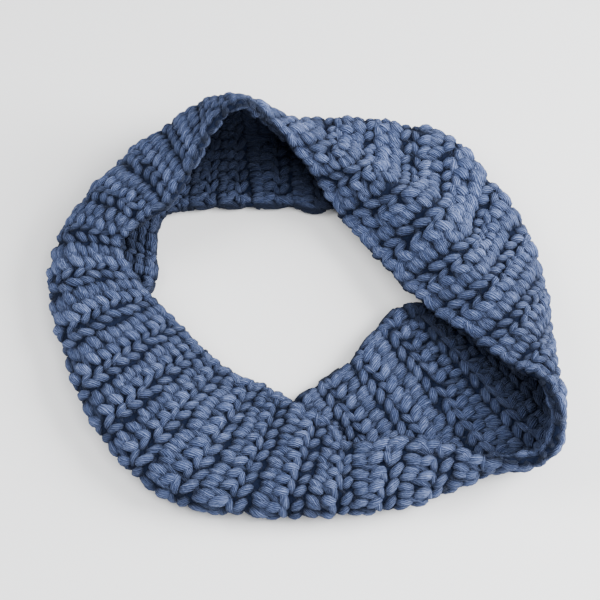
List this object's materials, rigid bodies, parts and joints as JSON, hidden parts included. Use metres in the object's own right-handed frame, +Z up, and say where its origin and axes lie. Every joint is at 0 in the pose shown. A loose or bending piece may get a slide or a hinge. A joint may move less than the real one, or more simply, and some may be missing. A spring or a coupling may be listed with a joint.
{
  "type": "infinity scarf",
  "caption": "Soft crocheted infinity scarf: one wide ribbed band joined into a loop, lying as dropped on a table with its edges folded over.",
  "frame": {"origin": "middle of the scarf's footprint on the surface it lies on", "axes": "+Z up from the surface, -Y towards the front of the scarf, +X to its right seen from the front"},
  "size_m": [0.301, 0.2838, 0.083],
  "materials": {
    "yarn": "matte heathered blue bulky yarn"
  },
  "bodies": {
    "root": {"back_wall": "yarn", "back_canopy": "yarn", "right_strip": "yarn", "right_flap": "yarn", "corner_trough": "yarn", "front_trough": "yarn", "front_fold": "yarn", "left_fold": "yarn", "upper_left_fold": "yarn"}
  },
  "joints": []
}
